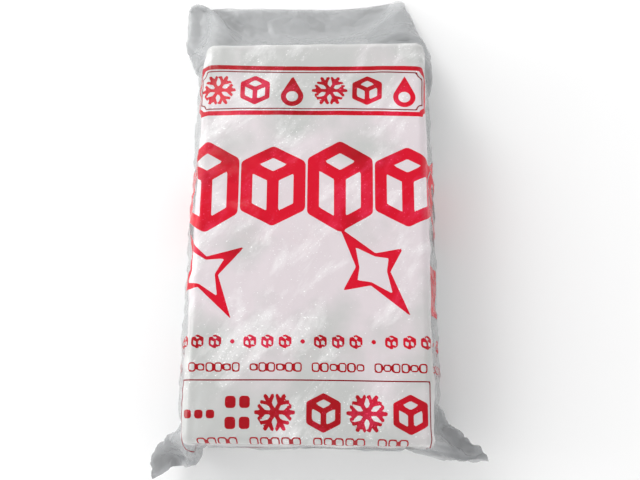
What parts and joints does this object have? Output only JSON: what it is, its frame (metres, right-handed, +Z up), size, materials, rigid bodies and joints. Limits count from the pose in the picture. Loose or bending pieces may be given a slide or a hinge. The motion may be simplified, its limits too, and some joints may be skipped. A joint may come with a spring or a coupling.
{
  "type": "bagged ice block",
  "caption": "Flat slab of block ice sealed in a snug printed plastic tube bag, lying on its back, with twisted film ears at two corners and an empty film flap past one end.",
  "frame": {"origin": "centre of the slab's underside, on the surface that the bag lies on", "axes": "+Z up through the printed face, +Y along the bag towards its mouth, +X across the slab to the right"},
  "size_m": [0.2625, 0.43, 0.0728],
  "materials": {
    "ice": "clear ice, white and cloudy inside, melted smooth outside",
    "film": "thin clear grey polyethylene film, creased, with red print on the front"
  },
  "bodies": {
    "root": {"ice_block": "ice", "bag": "film"}
  },
  "joints": []
}
